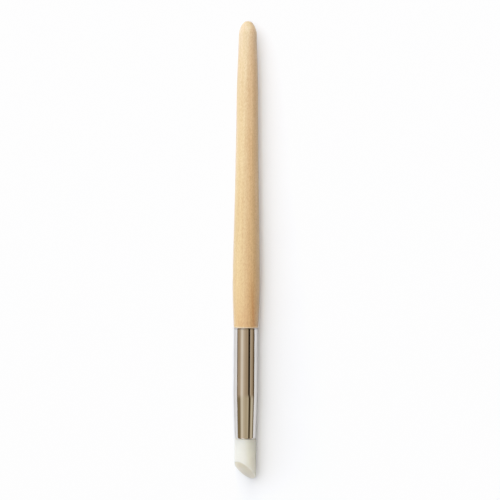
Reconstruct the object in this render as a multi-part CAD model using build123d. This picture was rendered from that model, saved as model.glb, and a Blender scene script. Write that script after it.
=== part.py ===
from build123d import *

# Clay shaper: a turned wooden handle, a drawn metal ferrule and a slanted silicone tip, glued into one tool.
#
# The tool lies along Y on the plane z = 0, with its tip towards -Y and its axis level.
# The origin is the middle of the bounding box's underside. Only the handle's belly reaches down to z = 0.
# Sizes are in millimetres.

import os
from math import atan2, cos, degrees, radians, sin, tan

# Lengths along the tool
LENGTH = 180.0
TIP_REACH = 16.0  # the tip's long side, beyond the ferrule
FERRULE_LENGTH = 43.6
FERRULE_CONE = 17.0  # the ferrule's front stretch, which narrows
BELLY_SETBACK = 18.0  # from the ferrule to the handle's thickest place
NOSE_LENGTH = 5.8  # the rounded butt of the handle

# Radii
BELLY_RADIUS = 5.35
NOSE_RADIUS = 3.6  # where the rounded butt starts
NOSE_TIP_RADIUS = 2.6  # of the ball at its end
FERRULE_REAR_RADIUS = 4.75
FERRULE_FRONT_RADIUS = 4.2
TIP_RADIUS = 4.25
BREAK_RADIUS = 60.0  # the gentle bend where the ferrule starts to narrow

# Ferrule sheet
WALL = 0.35
LIP_LENGTH = 0.6  # the mouth is rolled in over this length
LIP_TURN = 0.25  # and by this much
LIP_BEND = 0.6
REAR_EDGE = 0.15

# Handle
JOINT_RADIUS = 4.8  # where it meets the ferrule
JOINT_EDGE = 0.3
SHOULDER_SWELL = (5.2, 10.0)  # its radius, and how far that is behind the ferrule
TAPER = ((4.98, 22.0), (4.62, 42.0), (4.33, 62.0), (4.05, 82.0))  # radii, and how far behind the belly
TENON_LENGTH = 21.0
TENON_RADIUS = 4.3
TENON_CHAMFER = 0.6

# Silicone tip
BEVEL_ANGLE = 43.0  # between the slanted face and a square end
BEVEL_TURN = -45.0  # where the toe points, turned about the tool from +X
BEVEL_RIM = 0.5
NECK_EDGE = 0.25
DISH_DEPTH = 0.25
DISH_RADIUS = 3.0
SHANK_RADIUS = 3.45
SHANK_LENGTH = 14.0
GROOVE_DEPTH = 0.3
GROOVE_WIDTH = 1.2
GROOVE_PLACES = (4.0, 7.5, 11.0)  # from the ferrule's mouth, inwards

# Adhesive
HANDLE_GLUE_CAP = 0.4  # squeezed out past the tenon's end
TIP_GLUE_START = 0.9  # behind the rolled lip
TIP_GLUE_CAP = 1.2

# Stations along Y
Y_BUTT = LENGTH / 2
Y_NOSE = Y_BUTT - NOSE_LENGTH
Y_TOE = -LENGTH / 2
Y_MOUTH = Y_TOE + TIP_REACH
Y_BREAK = Y_MOUTH + FERRULE_CONE
Y_SHOULDER = Y_MOUTH + FERRULE_LENGTH
Y_TENON = Y_SHOULDER - TENON_LENGTH
Y_BELLY = Y_SHOULDER + BELLY_SETBACK

LEVEL = (0, 1)  # an outline's direction where it runs level
SWELLING = (0.05, 1)  # and where it leaves the ferrule, thickening slowly
REACH = 20.0  # more than the tool's thickness, for cutting right across it
SAME_PLACE = 0.01


def turned(*outline):
    """A solid of revolution about the tool's axis, from a closed outline of (radius, y)."""
    return Pos(0, 0, BELLY_RADIUS) * revolve(make_face(outline), Axis.Y)


def bar(radius, y_low, y_high):
    """A plain round bar on the tool's axis between two stations."""
    length = y_high - y_low
    return Pos(0, y_low + length / 2, BELLY_RADIUS) * Rot(X=90) * Cylinder(radius, length)


def slab(y_low, y_high):
    """Everything near the axis between two stations."""
    return Pos(0, (y_low + y_high) / 2, BELLY_RADIUS) * Box(REACH, y_high - y_low, REACH)


def outer_rim(solid, y):
    """The widest circular edge that a turned solid has at y."""
    edges = solid.edges().filter_by(GeomType.CIRCLE)
    return edges.filter_by_position(Axis.Y, y - SAME_PLACE, y + SAME_PLACE).sort_by(SortBy.RADIUS)[-1]


def nose():
    """The butt's outline: a side arc level with the handle, and a ball of NOSE_TIP_RADIUS tangent to it."""
    rise = NOSE_LENGTH - NOSE_TIP_RADIUS
    side_radius = (NOSE_RADIUS**2 + rise**2 - NOSE_TIP_RADIUS**2) / (2 * (NOSE_RADIUS - NOSE_TIP_RADIUS))
    inset = side_radius - NOSE_RADIUS
    turn = degrees(atan2(rise, inset))
    side = CenterArc((-inset, Y_NOSE), side_radius, 0, turn)
    ball = CenterArc((0, Y_BUTT - NOSE_TIP_RADIUS), NOSE_TIP_RADIUS, turn, 90 - turn)
    return side, ball


def handle():
    """Turned wood: a rounded butt, a slow swell to the belly, and a tenon that fills the ferrule's rear."""
    tenon = Polyline((0, Y_BUTT), (0, Y_TENON), (TENON_RADIUS, Y_TENON), (TENON_RADIUS, Y_SHOULDER))
    step = Line((TENON_RADIUS, Y_SHOULDER), (JOINT_RADIUS, Y_SHOULDER))
    radius, behind = SHOULDER_SWELL
    front = Spline((JOINT_RADIUS, Y_SHOULDER), (radius, Y_SHOULDER + behind), (BELLY_RADIUS, Y_BELLY),
                   tangents=(SWELLING, LEVEL))
    taper = [(radius, Y_BELLY + behind) for radius, behind in TAPER]
    rear = Spline((BELLY_RADIUS, Y_BELLY), *taper, (NOSE_RADIUS, Y_NOSE), tangents=(LEVEL, LEVEL))
    body = turned(tenon, step, front, rear, *nose())
    body = fillet(outer_rim(body, Y_SHOULDER), JOINT_EDGE)
    return chamfer(outer_rim(body, Y_TENON), TENON_CHAMFER)


def ferrule_core(inset):
    """The space inside the ferrule's outside, or inside its wall when inset by the wall's thickness."""
    rear = FERRULE_REAR_RADIUS - inset
    front = FERRULE_FRONT_RADIUS - inset
    mouth = front - LIP_TURN
    corners = ((rear, Y_SHOULDER), (rear, Y_BREAK), (front, Y_MOUTH + LIP_LENGTH), (mouth, Y_MOUTH))
    side = FilletPolyline(*corners, radius=(BREAK_RADIUS, LIP_BEND))
    ends = Polyline((mouth, Y_MOUTH), (0, Y_MOUTH), (0, Y_SHOULDER), (rear, Y_SHOULDER))
    return turned(side, ends)


def ferrule():
    """Drawn sheet-metal tube: straight at the rear, narrowing to a rolled-in mouth."""
    tube = ferrule_core(0) - ferrule_core(WALL)
    return fillet(outer_rim(tube, Y_SHOULDER), REAR_EDGE)


def shank():
    """The tip's hidden root, with ring grooves that the adhesive keys into."""
    root = bar(SHANK_RADIUS, Y_MOUTH, Y_MOUTH + SHANK_LENGTH)
    for place in GROOVE_PLACES:
        low = Y_MOUTH + place - GROOVE_WIDTH / 2
        high = low + GROOVE_WIDTH
        root -= slab(low, high) - bar(SHANK_RADIUS - GROOVE_DEPTH, low, high)
    return root


def bevel_plane():
    """The slanted face's plane, facing out of the tip, placed so that the rounded toe just reaches Y_TOE."""
    toe = Vector(cos(radians(BEVEL_TURN)), 0, sin(radians(BEVEL_TURN)))
    facing = Vector(0, -1, 0) * cos(radians(BEVEL_ANGLE)) - toe * sin(radians(BEVEL_ANGLE))
    toe_y = Y_TOE + BEVEL_RIM * (1 - cos(radians(BEVEL_ANGLE)))
    toe_off_axis = TIP_RADIUS - BEVEL_RIM * (1 + sin(radians(BEVEL_ANGLE)))
    return Plane((0, toe_y + toe_off_axis * tan(radians(BEVEL_ANGLE)), BELLY_RADIUS), z_dir=facing)


def shaper_tip():
    """Moulded silicone: a bar cut off at a slant, its face dished slightly and its rim rounded."""
    face = bevel_plane()
    blank = bar(TIP_RADIUS, Y_TOE - TIP_RADIUS, Y_MOUTH)
    body = split(blank, bisect_by=face, keep=Keep.BOTTOM)
    body = fillet(body.edges().filter_by(GeomType.ELLIPSE), BEVEL_RIM)
    body = fillet(outer_rim(body, Y_MOUTH), NECK_EDGE)
    ball = (DISH_RADIUS**2 + DISH_DEPTH**2) / (2 * DISH_DEPTH)
    body -= Pos(*(face.origin + face.z_dir * (ball - DISH_DEPTH))) * Sphere(ball)
    return body + shank()


def handle_adhesive(wood):
    """Glue film around the tenon, and the little that is squeezed out past its end."""
    film = ferrule_core(WALL) & slab(Y_TENON - HANDLE_GLUE_CAP, Y_SHOULDER)
    return film - wood


def tip_adhesive(silicone):
    """Cured adhesive that fills the ferrule's cone round the shank and closes it behind."""
    plug = ferrule_core(WALL) & slab(Y_MOUTH + TIP_GLUE_START, Y_MOUTH + SHANK_LENGTH + TIP_GLUE_CAP)
    return plug - silicone


os.makedirs("parts", exist_ok=True)
wood = handle()
silicone = shaper_tip()
pieces = {
    "handle": wood,
    "ferrule": ferrule(),
    "shaper_tip": silicone,
    "handle_adhesive": handle_adhesive(wood),
    "tip_adhesive": tip_adhesive(silicone),
}
for name, piece in pieces.items():
    export_step(piece, f"parts/{name}.step")
    box = piece.bounding_box()
    print(f"{name}: {piece.volume:.1f} mm3, from {box.min} to {box.max}")
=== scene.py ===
"""Clay shaper in Blender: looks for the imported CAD's wooden handle, nickel ferrule and silicone tip.

Everything is in metres, in the CAD's frame. The tool lies along Y on the floor at z = 0, its tip towards -Y.
"""

import math

import bmesh
import bpy
import numpy as np
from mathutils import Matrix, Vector


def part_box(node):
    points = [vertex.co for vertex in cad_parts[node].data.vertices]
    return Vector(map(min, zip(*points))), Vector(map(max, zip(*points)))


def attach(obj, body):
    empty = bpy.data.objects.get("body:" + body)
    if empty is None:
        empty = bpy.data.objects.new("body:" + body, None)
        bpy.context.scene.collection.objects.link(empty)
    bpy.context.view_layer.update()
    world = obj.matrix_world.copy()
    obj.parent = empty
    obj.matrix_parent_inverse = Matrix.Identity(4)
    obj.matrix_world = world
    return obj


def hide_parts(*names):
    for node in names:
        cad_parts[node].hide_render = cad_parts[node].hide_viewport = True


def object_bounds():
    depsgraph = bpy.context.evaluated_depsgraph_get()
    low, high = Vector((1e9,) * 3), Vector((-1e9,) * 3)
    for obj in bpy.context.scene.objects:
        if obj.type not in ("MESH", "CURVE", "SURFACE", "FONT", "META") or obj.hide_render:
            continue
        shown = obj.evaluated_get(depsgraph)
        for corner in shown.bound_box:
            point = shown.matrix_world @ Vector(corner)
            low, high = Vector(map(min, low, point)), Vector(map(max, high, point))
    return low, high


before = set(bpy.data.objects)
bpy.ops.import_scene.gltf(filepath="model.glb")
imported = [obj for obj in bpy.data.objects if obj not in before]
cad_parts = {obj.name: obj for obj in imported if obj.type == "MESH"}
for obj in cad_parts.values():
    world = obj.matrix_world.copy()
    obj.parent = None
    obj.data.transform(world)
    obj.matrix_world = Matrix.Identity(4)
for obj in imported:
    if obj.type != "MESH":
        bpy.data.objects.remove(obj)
CAD_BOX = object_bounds()
MM = 0.001

# Places, from the frame
AXIS_Z = (CAD_BOX[0].z + CAD_BOX[1].z) / 2
FERRULE_LOW, FERRULE_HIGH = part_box("ferrule")
HANDLE_LOW, HANDLE_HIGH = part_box("handle")
TIP_LOW, TIP_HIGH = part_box("shaper_tip")
Y_TOE = TIP_LOW.y
Y_MOUTH = FERRULE_LOW.y
Y_SHOULDER = FERRULE_HIGH.y
Y_BUTT = HANDLE_HIGH.y
Y_TENON = HANDLE_LOW.y

# Details that are finer than the frame's boxes show
NOSE_LENGTH = 5.8 * MM
NOSE_TIP_RADIUS = 2.6 * MM
JOINT_EDGE = 0.3 * MM
TENON_RADIUS = 4.3 * MM
TENON_CHAMFER = 0.6 * MM
WALL = 0.35 * MM
FERRULE_CONE = 17.0 * MM  # the ferrule's front stretch, which narrows
FERRULE_FRONT_RADIUS = 4.2 * MM
BREAK_RADIUS = 60.0 * MM  # the gentle bend where it starts to narrow
LIP_RADIUS = 0.6 * MM
LIP_CURL = 75  # degrees
REAR_EDGE = 0.3 * MM
NECK_EDGE = 0.25 * MM
BEVEL_ANGLE = math.radians(43)  # of the slanted face, from a square end
BEVEL_TURN = math.radians(-45)  # of the toe about the tool, from +X
BEVEL_RIM = 0.5 * MM
TOE = Vector((math.cos(BEVEL_TURN), 0, math.sin(BEVEL_TURN)))
FACING = Vector((0, -math.cos(BEVEL_ANGLE), 0)) - TOE * math.sin(BEVEL_ANGLE)  # out of the slanted face
DISH_RADIUS = 3.3 * MM
DISH_DEPTH = 0.25 * MM
SHANK_RADIUS = 3.45 * MM
GROOVE_DEPTH = 0.3 * MM
GROOVE_WIDTH = 1.2 * MM
GROOVE_PLACES = (4.0 * MM, 7.5 * MM, 11.0 * MM)  # from the ferrule's mouth, inwards

# Fineness of the meshes
AROUND = 160
HANDLE_STEP = 0.6 * MM
FERRULE_STEP = 0.5 * MM
ARC_STEPS = 6
TIP_STEP = 0.05  # from loop to loop, as a share of the tip's side and of its slanted face
RIM_STEP = 0.1  # and of the rounded rim between them


# Meshes

def on_ring(radius, y, turn):
    """The point at that turn about the tool's axis, from +X towards +Z."""
    return Vector((radius * math.cos(turn), y, AXIS_Z + radius * math.sin(turn)))


def ring(radius, y):
    """A circle of points about the tool's axis, or its centre where the radius is nothing."""
    if radius <= 0:
        return [Vector((0, y, AXIS_Z))]
    return [on_ring(radius, y, math.tau * k / AROUND) for k in range(AROUND)]


def skin(name, rings, closed=False):
    """A smooth mesh through the rings in turn.

    A ring of one point closes an end. With closed, the last ring joins the first instead.
    """
    bm = bmesh.new()
    rows = [[bm.verts.new(point) for point in points] for points in rings]
    followers = rows[1:] + rows[:1] if closed else rows[1:]
    for low, high in zip(rows, followers):
        for k in range(AROUND):
            after = (k + 1) % AROUND
            if len(low) == 1:
                corners = (low[0], high[after], high[k])
            elif len(high) == 1:
                corners = (low[k], low[after], high[0])
            else:
                corners = (low[k], low[after], high[after], high[k])
            bm.faces.new(corners).smooth = True
    bmesh.ops.recalc_face_normals(bm, faces=bm.faces)
    mesh = bpy.data.meshes.new(name)
    bm.to_mesh(mesh)
    bm.free()
    piece = bpy.data.objects.new(name, mesh)
    bpy.context.scene.collection.objects.link(piece)
    return piece


def cad_radius(node):
    """The CAD node's outside radius as a function of y, read from its vertices."""
    widest = {}
    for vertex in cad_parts[node].data.vertices:
        radius = math.hypot(vertex.co.x, vertex.co.z - AXIS_Z)
        widest[vertex.co.y] = max(radius, widest.get(vertex.co.y, 0))
    stations = sorted(widest)
    radii = [widest[y] for y in stations]
    return lambda y: float(np.interp(y, stations, radii))


def spread(low, high, step):
    """Evenly spaced values from low to high, about a step apart."""
    count = max(1, round(abs(high - low) / step))
    return [low + (high - low) * k / count for k in range(count + 1)]


def arc(centre, radius, start, stop, steps=ARC_STEPS):
    """(radius, y) points along a circular arc in the outline's plane, its angles in degrees."""
    turns = [math.radians(start + (stop - start) * k / steps) for k in range(steps + 1)]
    return [(centre[0] + radius * math.cos(t), centre[1] + radius * math.sin(t)) for t in turns]


# The handle

def nose_outline(start_radius):
    """The rounded butt: a side arc level with the handle, then a ball tangent to it."""
    rise = NOSE_LENGTH - NOSE_TIP_RADIUS
    side_radius = (start_radius**2 + rise**2 - NOSE_TIP_RADIUS**2) / (2 * (start_radius - NOSE_TIP_RADIUS))
    inset = side_radius - start_radius
    turn = math.degrees(math.atan2(rise, inset))
    side = arc((-inset, Y_BUTT - NOSE_LENGTH), side_radius, 0, turn, 3 * ARC_STEPS)
    ball = arc((0, Y_BUTT - NOSE_TIP_RADIUS), NOSE_TIP_RADIUS, turn, 90, 4 * ARC_STEPS)
    return side + ball[1:]


def make_handle():
    """The turned wooden handle with its tenon, which goes into the ferrule."""
    radius = cad_radius("handle")
    y_nose = Y_BUTT - NOSE_LENGTH
    y_edge = Y_SHOULDER + JOINT_EDGE
    edge = arc((radius(y_edge) - JOINT_EDGE, y_edge), JOINT_EDGE, -90, 0)
    outline = [(0, Y_TENON), (TENON_RADIUS - TENON_CHAMFER, Y_TENON)]
    outline += [(TENON_RADIUS, Y_TENON + TENON_CHAMFER), (TENON_RADIUS, Y_SHOULDER)]
    outline += edge
    outline += [(radius(y), y) for y in spread(y_edge, y_nose, HANDLE_STEP)[1:-1]]
    outline += nose_outline(radius(y_nose))[:-1]
    outline += [(0, Y_BUTT)]
    return skin("shaper_handle", [ring(*place) for place in outline])


# The ferrule

def ferrule_radius(y):
    """The tube's outside radius: level, then a cone, with an arc of BREAK_RADIUS that is tangent to both."""
    rear = FERRULE_HIGH.x
    y_lip = Y_MOUTH + LIP_RADIUS
    y_break = Y_MOUTH + FERRULE_CONE
    slope = (rear - FERRULE_FRONT_RADIUS) / (y_break - y_lip)
    half_arc = BREAK_RADIUS * math.tan(math.atan(slope) / 2)
    if y >= y_break + half_arc:
        return rear
    if y <= y_break - half_arc:
        return rear - (y_break - y) * slope
    return rear - (y_break + half_arc - y) ** 2 / (2 * BREAK_RADIUS)


def make_ferrule():
    """The drawn tube: outside from rear to mouth, round the rolled lip, and back along the inside."""
    y_rear = Y_SHOULDER - REAR_EDGE
    y_lip = Y_MOUTH + LIP_RADIUS
    rear = arc((FERRULE_HIGH.x - REAR_EDGE, y_rear), REAR_EDGE, 90, 0)
    lip = arc((FERRULE_FRONT_RADIUS - LIP_RADIUS, y_lip), LIP_RADIUS, 0, -LIP_CURL, 2 * ARC_STEPS)
    lip_back = arc((FERRULE_FRONT_RADIUS - LIP_RADIUS, y_lip), LIP_RADIUS - WALL, -LIP_CURL, 0)
    side = [(ferrule_radius(y), y) for y in spread(y_rear, y_lip, FERRULE_STEP)[1:-1]]
    inside = [(ferrule_radius(y) - WALL, y) for y in spread(y_lip, Y_SHOULDER, FERRULE_STEP)[1:]]
    outline = rear + side + lip + lip_back + inside
    return skin("nickel_ferrule", [ring(*place) for place in outline], closed=True)


# The silicone tip

TIP_RADIUS = (TIP_HIGH.x - TIP_LOW.x) / 2
BALL_REACH = TIP_RADIUS - BEVEL_RIM  # off the axis, of a ball that fits into the rounded rim
Y_NECK = Y_MOUTH - NECK_EDGE


def shank_outline():
    """The tip's hidden root, from its end to the mouth, with ring grooves that the adhesive keys into."""
    outline = [(SHANK_RADIUS, TIP_HIGH.y)]
    for place in reversed(GROOVE_PLACES):
        high = Y_MOUTH + place + GROOVE_WIDTH / 2
        low = high - GROOVE_WIDTH
        root = SHANK_RADIUS - GROOVE_DEPTH
        outline += [(SHANK_RADIUS, high), (root, high), (root, low), (SHANK_RADIUS, low)]
    return outline + [(SHANK_RADIUS, Y_MOUTH)]


def ball_centre(out, turn):
    """The centre of a ball of the rim's radius that touches the slanted face, that far out from the axis."""
    toe_y = Y_TOE + BEVEL_RIM
    y = toe_y + (BALL_REACH - out * math.cos(turn - BEVEL_TURN)) * math.tan(BEVEL_ANGLE)
    return on_ring(out, y, turn)


def rim_row(share):
    """A loop of the rounded rim, from the side at 0 to the face at 1."""
    row = []
    for k in range(AROUND):
        turn = math.tau * k / AROUND
        outward = Vector((math.cos(turn), 0, math.sin(turn)))
        row.append(ball_centre(BALL_REACH, turn) + outward.slerp(FACING, share) * BEVEL_RIM)
    return row


def face_row(share):
    """A loop of the slanted face, from its rim at 1 to its middle at 0, sunk by the dish."""
    row = []
    for k in range(AROUND if share else 1):
        point = ball_centre(BALL_REACH * share, math.tau * k / AROUND)
        across = (point - ball_centre(0, 0)).length / DISH_RADIUS
        sink = DISH_DEPTH * max(0, 1 - across**2) ** 2
        row.append(point + FACING * (BEVEL_RIM - sink))
    return row


def side_row(share):
    """A loop of the straight side, from the neck at 0 to the rim at 1."""
    return [Vector((p.x, Y_NECK + (p.y - Y_NECK) * share, p.z)) for p in rim_row(0)]


def make_tip():
    """The moulded tip: a grooved shank in the ferrule, a neck, and a slanted face with a rounded rim."""
    neck = arc((TIP_RADIUS - NECK_EDGE, Y_NECK), NECK_EDGE, 90, 0)
    rows = [ring(0, TIP_HIGH.y)]
    rows += [ring(*place) for place in shank_outline() + neck]
    rows += [side_row(share) for share in spread(0, 1, TIP_STEP)[1:-1]]
    rows += [rim_row(share) for share in spread(0, 1, RIM_STEP)]
    rows += [face_row(share) for share in spread(1, 0, TIP_STEP)[1:]]
    return skin("silicone_tip", rows)


# Materials

# A colour Mix node's sockets by number, because their names repeat
MIX_SHARE = 0
MIX_COLOURS = (6, 7)
MIX_RESULT = 2


def material(name):
    """A new material, with its node tree and its Principled shader."""
    made = bpy.data.materials.new(name)
    made.use_nodes = True
    return made, made.node_tree, made.node_tree.nodes["Principled BSDF"]


def add(tree, kind, **values):
    """A node of that kind, with its properties and its named inputs set."""
    node = tree.nodes.new(kind)
    for key, value in values.items():
        if key in node.inputs:
            node.inputs[key].default_value = value
        else:
            setattr(node, key, value)
    return node


def placed(tree, scale, turn, centre=(0, 0, 0)):
    """Object coordinates, turned about Z round the centre and then scaled along X, Y and Z from it."""
    turned = add(tree, "ShaderNodeVectorRotate", rotation_type="Z_AXIS", Center=centre, Angle=turn)
    tree.links.new(add(tree, "ShaderNodeTexCoord").outputs["Object"], turned.inputs["Vector"])
    shift = [-place * factor for place, factor in zip(centre, scale)]
    mapping = add(tree, "ShaderNodeMapping", Scale=scale, Location=shift)
    tree.links.new(turned.outputs["Vector"], mapping.inputs["Vector"])
    return mapping.outputs["Vector"]


def noise_of(tree, scale, detail=3.0, roughness=0.5, turn=0.0):
    """Noise whose grain is set by how many times per metre it varies along X, Y and Z, turned about Z."""
    node = add(tree, "ShaderNodeTexNoise", Scale=1.0, Detail=detail, Roughness=roughness)
    tree.links.new(placed(tree, scale, turn), node.inputs["Vector"])
    return node.outputs["Fac"]


def soft_spot(tree, centre, reach, turn=0.0):
    """A mask that is 1 at the centre and fades to 0 over the reach, along X, Y and Z turned about Z."""
    spot = add(tree, "ShaderNodeTexGradient", gradient_type="SPHERICAL")
    tree.links.new(placed(tree, [1 / size for size in reach], -turn, centre), spot.inputs["Vector"])
    return spot.outputs["Fac"]


def ramp(tree, value, *stops):
    """A colour ramp over (position, colour) stops. A single number as a colour means a grey."""
    node = add(tree, "ShaderNodeValToRGB")
    elements = node.color_ramp.elements
    while len(elements) < len(stops):
        elements.new(0.5)  # anywhere, because its place is set below
    for element, (position, colour) in zip(elements, stops):
        element.position = position
        element.color = (colour,) * 3 + (1,) if isinstance(colour, (int, float)) else (*colour, 1)
    tree.links.new(value, node.inputs["Fac"])
    return node.outputs["Color"]


def mapped(tree, value, low, high, to_low=0, to_high=1):
    """A value carried over from one range to another, and held at its ends."""
    node = add(tree, "ShaderNodeMapRange")
    for name, number in (("From Min", low), ("From Max", high), ("To Min", to_low), ("To Max", to_high)):
        node.inputs[name].default_value = number
    tree.links.new(value, node.inputs["Value"])
    return node.outputs["Result"]


def mix(tree, how, share, first, second):
    """Two colours mixed. The share and either colour may be a value or another node's output."""
    node = add(tree, "ShaderNodeMix", data_type="RGBA", blend_type=how)
    for place, value in zip((MIX_SHARE, *MIX_COLOURS), (share, first, second)):
        if isinstance(value, bpy.types.NodeSocket):
            tree.links.new(value, node.inputs[place])
        else:
            node.inputs[place].default_value = value if isinstance(value, float) else (*value, 1)
    return node.outputs[MIX_RESULT]


def tinted(tree, base, tint, share=1.0):
    """A colour multiplied by a tint, fully or by a share."""
    return mix(tree, "MULTIPLY", share, base, tint)


def bump(tree, shader, height, distance, strength=1.0):
    """Fine relief from a height, on the shader's normal."""
    node = add(tree, "ShaderNodeBump", Strength=strength, Distance=distance)
    tree.links.new(height, node.inputs["Height"])
    tree.links.new(node.outputs["Normal"], shader.inputs["Normal"])


def axes(tree, kind):
    """Texture coordinates of that kind, as outputs X, Y and Z."""
    split = add(tree, "ShaderNodeSeparateXYZ")
    tree.links.new(add(tree, "ShaderNodeTexCoord").outputs[kind], split.inputs["Vector"])
    return split.outputs


def along_tool(tree, low, high):
    """A value that rises from 0 at y = low to 1 at y = high."""
    return mapped(tree, axes(tree, "Object")["Y"], low, high)


# Wood. A pattern's scale is how many times per metre it varies along X, Y and Z.
WOOD_TONES = ((0, (0.582, 0.378, 0.182)), (0.1, (0.606, 0.413, 0.207)), (0.3, (0.622, 0.439, 0.232)),
              (0.65, (0.656, 0.467, 0.26)), (0.87, (0.674, 0.487, 0.289)), (0.97, (0.69, 0.522, 0.33)),
              (1, (0.627, 0.462, 0.27)))  # from the ferrule at 0 to the butt at 1
GRAIN_SCALE = (1100, 26, 1100)
GRAIN_TINTS = ((0.35, (0.93, 0.88, 0.815)), (0.65, 1.02))
FLECK_SCALE = (3200, 1000, 3200)
FLECK_TINTS = ((0.32, (0.83, 0.765, 0.69)), (0.6, 1.025))
FLECK_TURN = math.radians(18)  # the short flecks lean across the grain
FLECK_SHINE = ((0.3, 0.52), (0.7, 0.40))  # roughness
FLECK_HEIGHT = 0.02 * MM
CLOUD_SCALE = (160, 45, 160)
CLOUD_TINTS = ((0.3, (0.98, 0.96, 0.93)), (0.7, (1.02, 1.03, 1.05)))
STREAK_PLACE = (2.8 * MM, Y_SHOULDER + 5 * MM, AXIS_Z + 4.4 * MM)
STREAK_TURN = math.radians(3.4)
STREAK_REACH = (0.5 * MM, 15 * MM, 3 * MM)
STREAK_TINT = (0.93, 0.82, 0.72)
HALO_REACH = (1.6 * MM, 24 * MM, 3 * MM)  # of the fainter stain around the streak
HALO_TINT = (0.96, 0.86, 0.76)
EDGE_HIGHLIGHT_REACH = 2 * JOINT_EDGE  # painted highlight: the rounded edge at the ferrule is painted paler than the side, as if it caught light
EDGE_HIGHLIGHT_TINTS = ((0.65, (1.28, 1.58, 2.2)), (0.8, 1.0))


def wood():
    """Pale hardwood under a thin satin coat: long soft grain, short flecks, one darker streak, and a painted
    highlight along the edge at the ferrule.
    """
    made, tree, shader = material("pale_hardwood")
    grain = noise_of(tree, GRAIN_SCALE, detail=4, roughness=0.6)
    flecks = noise_of(tree, FLECK_SCALE, detail=3, roughness=0.7, turn=FLECK_TURN)
    clouds = noise_of(tree, CLOUD_SCALE, detail=2)
    base = ramp(tree, along_tool(tree, Y_SHOULDER, Y_BUTT), *WOOD_TONES)
    for pattern, tints in ((clouds, CLOUD_TINTS), (grain, GRAIN_TINTS), (flecks, FLECK_TINTS)):
        base = tinted(tree, base, ramp(tree, pattern, *tints))
    for reach, tint in ((HALO_REACH, HALO_TINT), (STREAK_REACH, STREAK_TINT)):
        base = tinted(tree, base, tint, soft_spot(tree, STREAK_PLACE, reach, STREAK_TURN))
    # Painted highlight: the rounded edge at the ferrule is painted paler
    base = tinted(tree, base, ramp(tree, along_tool(tree, Y_SHOULDER, Y_SHOULDER + EDGE_HIGHLIGHT_REACH), *EDGE_HIGHLIGHT_TINTS))
    tree.links.new(base, shader.inputs["Base Color"])
    tree.links.new(ramp(tree, flecks, *FLECK_SHINE), shader.inputs["Roughness"])
    bump(tree, shader, flecks, FLECK_HEIGHT, 0.6)
    shader.inputs["Coat Weight"].default_value = 0.15
    shader.inputs["Coat Roughness"].default_value = 0.25
    shader.inputs["Sheen Weight"].default_value = 0.16
    shader.inputs["Sheen Roughness"].default_value = 0.4
    shader.inputs["Sheen Tint"].default_value = (0.6, 0.8, 1.0, 1.0)
    return made


# Nickel
SMEAR_SCALE = (260, 90, 260)
SMEAR_COLOURS = ((0.3, (0.62, 0.60, 0.575)), (0.7, (0.66, 0.64, 0.615)))
SMEAR_SHINE = ((0.35, 0.02), (0.75, 0.05))  # roughness
LINE_SCALE = (5200, 60, 5200)
LINE_HEIGHT = 0.001 * MM
SHADED_EDGE_REACH = 1.2 * MM  # how far from the wood the metal carries painted shade, which stands in for the joint's shadow and its dark reflection
SHADED_EDGE_TINTS = ((0.2, 1.0), (0.45, 0.76), (1.0, 0.85))  # from unshaded metal at 0 to the tube's end at 1


def nickel():
    """Polished nickel plate: warm grey metal with faint smears and drawing lines along the tube, and painted
    shade next to the wood.
    """
    made, tree, shader = material("polished_nickel")
    smears = noise_of(tree, SMEAR_SCALE, detail=4, roughness=0.6)
    lines = noise_of(tree, LINE_SCALE, detail=2)
    # Painted shade on the metal next to the wood: the joint's shadow and dark reflection
    edge = ramp(tree, along_tool(tree, Y_SHOULDER - SHADED_EDGE_REACH, Y_SHOULDER), *SHADED_EDGE_TINTS)
    base = tinted(tree, ramp(tree, smears, *SMEAR_COLOURS), edge)
    tree.links.new(base, shader.inputs["Base Color"])
    tree.links.new(ramp(tree, smears, *SMEAR_SHINE), shader.inputs["Roughness"])
    bump(tree, shader, lines, LINE_HEIGHT, 0.3)
    shader.inputs["Metallic"].default_value = 1.0
    shader.inputs["Specular Tint"].default_value = (0.58, 0.58, 0.60, 1.0)  # darkens the grazing edges
    return made


# Silicone
MILKY_SCALE = (300, 300, 300)
MILKY_COLOURS = ((0.3, (0.558, 0.526, 0.432)), (0.7, (0.588, 0.561, 0.467)))
# Painted shade: the slanted face is painted darker and warmer than the side, as if it faced away from the
# light
FACE_SHADE_TINT = (0.90, 0.83, 0.75)
FACE_SHADE_FADE = (0.9, 0.98)  # cosines, off the face's direction, where its painted shade starts and is full
SKIN_SCALE = (2600, 2600, 2600)
SKIN_SHINE = ((0.3, 0.42), (0.7, 0.52))  # roughness
SKIN_HEIGHT = 0.004 * MM
SCATTER_RADIUS = (1.0, 0.88, 0.72)  # of red, green and blue, in units of the depth
SCATTER_DEPTH = 30.0 * MM


def facing_mask(tree, direction, fade):
    """A mask of the surface that faces that way in the object, fading in between two cosines."""
    cosine = add(tree, "ShaderNodeVectorMath", operation="DOT_PRODUCT")
    tree.links.new(add(tree, "ShaderNodeTexCoord").outputs["Normal"], cosine.inputs[0])
    cosine.inputs[1].default_value = direction
    start, full = fade
    return ramp(tree, cosine.outputs["Value"], (start, 0.0), (full, 1.0))


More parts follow.
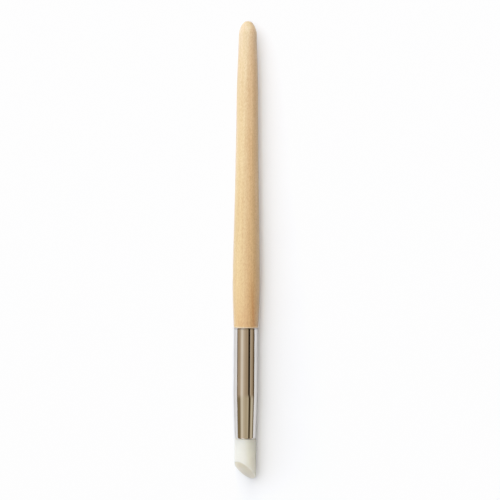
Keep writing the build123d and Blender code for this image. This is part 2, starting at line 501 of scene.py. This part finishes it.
def silicone():
    """Off-white translucent silicone: light scatters inside it, its skin is matt and faintly uneven, and its
    slanted face is painted darker and warmer as shade.
    """
    made, tree, shader = material("white_silicone")
    clouds = noise_of(tree, MILKY_SCALE, detail=3)
    skin_grain = noise_of(tree, SKIN_SCALE, detail=2)
    base = ramp(tree, clouds, *MILKY_COLOURS)
    # Painted shade on the slanted face
    base = tinted(tree, base, FACE_SHADE_TINT, facing_mask(tree, FACING, FACE_SHADE_FADE))
    tree.links.new(base, shader.inputs["Base Color"])
    tree.links.new(ramp(tree, skin_grain, *SKIN_SHINE), shader.inputs["Roughness"])
    bump(tree, shader, skin_grain, SKIN_HEIGHT, 0.4)
    shader.inputs["Subsurface Weight"].default_value = 0.62
    shader.inputs["Subsurface Radius"].default_value = SCATTER_RADIUS
    shader.inputs["Subsurface Scale"].default_value = SCATTER_DEPTH
    shader.inputs["IOR"].default_value = 1.41
    return made


# Adhesive
AMBER_SCALE = (500, 500, 500)
AMBER_COLOURS = ((0.3, (0.50, 0.33, 0.12)), (0.7, (0.70, 0.52, 0.24)))
AMBER_SHINE = ((0.3, 0.2), (0.7, 0.35))  # roughness
RIPPLE_HEIGHT = 0.02 * MM


def adhesive():
    """Cured amber adhesive, hidden in the ferrule, with cloudy patches and a rippled surface."""
    made, tree, shader = material("amber_adhesive")
    clouds = noise_of(tree, AMBER_SCALE, detail=3)
    tree.links.new(ramp(tree, clouds, *AMBER_COLOURS), shader.inputs["Base Color"])
    tree.links.new(ramp(tree, clouds, *AMBER_SHINE), shader.inputs["Roughness"])
    bump(tree, shader, clouds, RIPPLE_HEIGHT)
    return made


# Floor
FLOOR_SCALE = (40, 40, 40)
FLOOR_GREYS = ((0.3, 0.845), (0.7, 0.855))
FLOOR_SHADE_REACH = 60 * MM  # how far each way from the middle the painted shade fades: darker towards the tip, lighter towards the butt, as if the light were nearer the butt
FLOOR_SHADE_TINTS = ((0, 0.972), (1, 1.032))


def floor_paint():
    """Plain pale floor with a barely visible unevenness, and painted shade that darkens it slightly towards
    -Y and lightens it towards +Y, as if the light were nearer the butt.
    """
    made, tree, shader = material("pale_floor")
    clouds = noise_of(tree, FLOOR_SCALE, detail=2)
    # Painted shade along the floor: darker towards the tip, lighter towards the butt
    painted_falloff = ramp(tree, along_tool(tree, -FLOOR_SHADE_REACH, FLOOR_SHADE_REACH), *FLOOR_SHADE_TINTS)
    base = tinted(tree, ramp(tree, clouds, *FLOOR_GREYS), painted_falloff)
    tree.links.new(base, shader.inputs["Base Color"])
    shader.inputs["Roughness"].default_value = 0.9
    shader.inputs["Specular IOR Level"].default_value = 0.1
    return made


# Studio

FLOOR_SIZE = 8.0
CAMERA_LENS = 120.0
CAMERA_SENSOR = 36.0
VIEW_WIDTH = 196.4 * MM  # what the camera sees across, at the height of the tool's axis
VIEW_CENTRE = Vector((1.38 * MM, 0.07 * MM, AXIS_Z))
VIEW_ROLL = math.radians(0.35)

# Brightness by angle from straight up, in degrees towards +X: (angle, brightness)
SOFT_LIGHT = ((-90, 1.3), (-60, 1.65), (-45, 1.35), (-22, 2.55), (-10, 2.5), (2, 3.1), (22, 0.3), (28, 0.01),
              (90, 0.01))
NORTH_SHARE = 0.9  # how much brighter the soft light is towards +Y, and dimmer towards -Y
LEFT_TINT = (0.89, 1.0, 1.23)
TOP_TINT = (1.0, 0.985, 0.96)
RIGHT_TINT = (1.0, 0.82, 0.68)
# What the polished metal mirrors instead: around the tool, around its narrowing front, and beyond its ends
ROOM = ((-90, 0.18), (-81, 0.38), (-72, 0.56), (-62, 0.53), (-53, 0.67), (-44, 0.95), (-33, 0.99),
        (-23, 0.81), (-13, 0.66), (-3, 0.58), (6, 0.50), (20, 0.54), (24, 0.11), (31, 0.02), (41.5, 0.01),
        (43, 0.74), (56, 0.53), (67, 0.46), (79, 0.16), (90, 0.08))
FRONT_ROOM = ((-90, 0.22), (-78, 0.34), (-68, 0.28), (-56, 0.36), (-44, 0.86), (-32, 0.93), (-20, 0.74),
              (0, 0.62), (14, 0.62), (24, 0.72), (28, 0.66), (31, 0.12), (46, 0.02), (49, 0.50), (66, 0.87),
              (80, 0.32), (90, 0.14))
END_ROOM = ((-90, 0.20), (-60, 0.25), (-45, 1.2), (-25, 1.2), (-5, 0.6), (20, 0.35), (40, 0.15), (60, 0.5),
            (90, 0.4))
# A mirrored direction's reach along Y where another room starts to take over, and where it has
FRONT_FADE = (-0.095, -0.145)
END_FADE = (0.25, 0.5)  # either way
# The darker a room, the more it takes its hue
ROOM_TONE = (1.0, 0.73, 0.45)
FRONT_TONE = (0.96, 0.74, 0.425)
TONE_IN_THE_DARK = 1.45  # the power of the hue where a room is black
TONE_FADE = 1.15  # and how fast that falls with brightness
BACKDROP = 1.2
BRIGHTEST = 5.0  # the world's colours are shares of this
TONE_CURVE = ((0.7, 0.7), (1.11, 0.985), (1.3, 0.99))  # linear brightness, and what it is shown as
ALL_COLOURS = 3  # the view's curve that acts on red, green and blue together


def make_floor():
    """The plain floor that the tool lies on."""
    half = FLOOR_SIZE / 2
    mesh = bpy.data.meshes.new("floor")
    corners = [(-half, -half, 0), (half, -half, 0), (half, half, 0), (-half, half, 0)]
    mesh.from_pydata(corners, [], [(0, 1, 2, 3)])
    mesh.materials.append(floor_paint())
    floor = bpy.data.objects.new("floor", mesh)
    bpy.context.scene.collection.objects.link(floor)


def by_angle(tree, lean, stops, tone=(1, 1, 1)):
    """Brightness by angle, as a share of BRIGHTEST, with darker parts taking more of the tone."""
    shades = []
    for angle, level in stops:
        power = TONE_IN_THE_DARK - TONE_FADE * level
        shades.append(((angle + 90) / 180, tuple(level / BRIGHTEST * hue**power for hue in tone)))
    return ramp(tree, lean, *shades)


def computed(tree, operation, *values):
    """What a Math node makes of other nodes' outputs."""
    node = add(tree, "ShaderNodeMath", operation=operation)
    for socket, value in zip(node.inputs, values):
        tree.links.new(value, socket)
    return node.outputs[0]


def soft_light(tree, lean, north):
    """What lights the tool: mostly from above and from the left, and more from behind the butt."""
    share = mapped(tree, north, -1, 1, 1 - NORTH_SHARE, 1 + NORTH_SHARE)
    light = tinted(tree, by_angle(tree, lean, SOFT_LIGHT), share)
    return tinted(tree, light, ramp(tree, lean, (0, LEFT_TINT), (0.5, TOP_TINT), (1, RIGHT_TINT)))


def mirrored_room(tree, lean, north):
    """What the metal mirrors: a dimmer, warmer room, with other bands in front and beyond the ends."""
    around = by_angle(tree, lean, ROOM, ROOM_TONE)
    ahead = by_angle(tree, lean, FRONT_ROOM, FRONT_TONE)
    beyond = by_angle(tree, lean, END_ROOM, ROOM_TONE)
    room = mix(tree, "MIX", mapped(tree, north, *FRONT_FADE), around, ahead)
    return mix(tree, "MIX", mapped(tree, computed(tree, "ABSOLUTE", north), *END_FADE), room, beyond)


def make_world():
    """Soft light without lamps. Glossy rays see the mirrored room, and the camera sees a backdrop."""
    world = bpy.data.worlds.new("studio")
    bpy.context.scene.world = world
    world.use_nodes = True
    world.cycles.sampling_method = "NONE"
    tree = world.node_tree
    background = tree.nodes["Background"]
    background.inputs["Strength"].default_value = BRIGHTEST
    direction = axes(tree, "Generated")
    north = direction["Y"]
    lean = computed(tree, "ARCTAN2", direction["X"], direction["Z"])
    lean = mapped(tree, lean, -math.pi / 2, math.pi / 2)
    rays = add(tree, "ShaderNodeLightPath")
    seen = mix(tree, "MIX", rays.outputs["Is Glossy Ray"], soft_light(tree, lean, north),
               mirrored_room(tree, lean, north))
    seen = mix(tree, "MIX", rays.outputs["Is Camera Ray"], seen, (BACKDROP / BRIGHTEST,) * 3)
    tree.links.new(seen, background.inputs["Color"])


def make_camera():
    """Straight above the tool, with its butt at the top of the picture."""
    data = bpy.data.cameras.new("camera")
    data.lens = CAMERA_LENS
    data.sensor_width = CAMERA_SENSOR
    camera = bpy.data.objects.new("camera", data)
    bpy.context.scene.collection.objects.link(camera)
    camera.location = VIEW_CENTRE + Vector((0, 0, VIEW_WIDTH * CAMERA_LENS / CAMERA_SENSOR))
    camera.rotation_euler = (0, 0, VIEW_ROLL)
    bpy.context.scene.camera = camera


def finish_piece(piece, node, look):
    """The piece stands for a CAD node, rides on the tool and takes its material."""
    piece.data.materials.append(look)
    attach(piece, "root")
    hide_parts(node)


def make_tone():
    """A plain view of the scene's colours, its brightest ones rolled off before they reach white."""
    view = bpy.context.scene.view_settings
    view.view_transform = "Standard"
    view.use_curve_mapping = True
    view.curve_mapping.clip_max_x = TONE_CURVE[-1][0]
    points = view.curve_mapping.curves[ALL_COLOURS].points
    points[1].location = TONE_CURVE[0]
    for place in TONE_CURVE[1:]:
        points.new(*place)
    for point in points:
        point.handle_type = "VECTOR"
    view.curve_mapping.update()


make_tone()
make_camera()
make_world()
make_floor()

finish_piece(make_handle(), "handle", wood())
finish_piece(make_ferrule(), "ferrule", nickel())
finish_piece(make_tip(), "shaper_tip", silicone())
glue = adhesive()
for node in ("handle_adhesive", "tip_adhesive"):
    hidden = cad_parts[node]
    hidden.data.materials.clear()
    hidden.data.materials.append(glue)
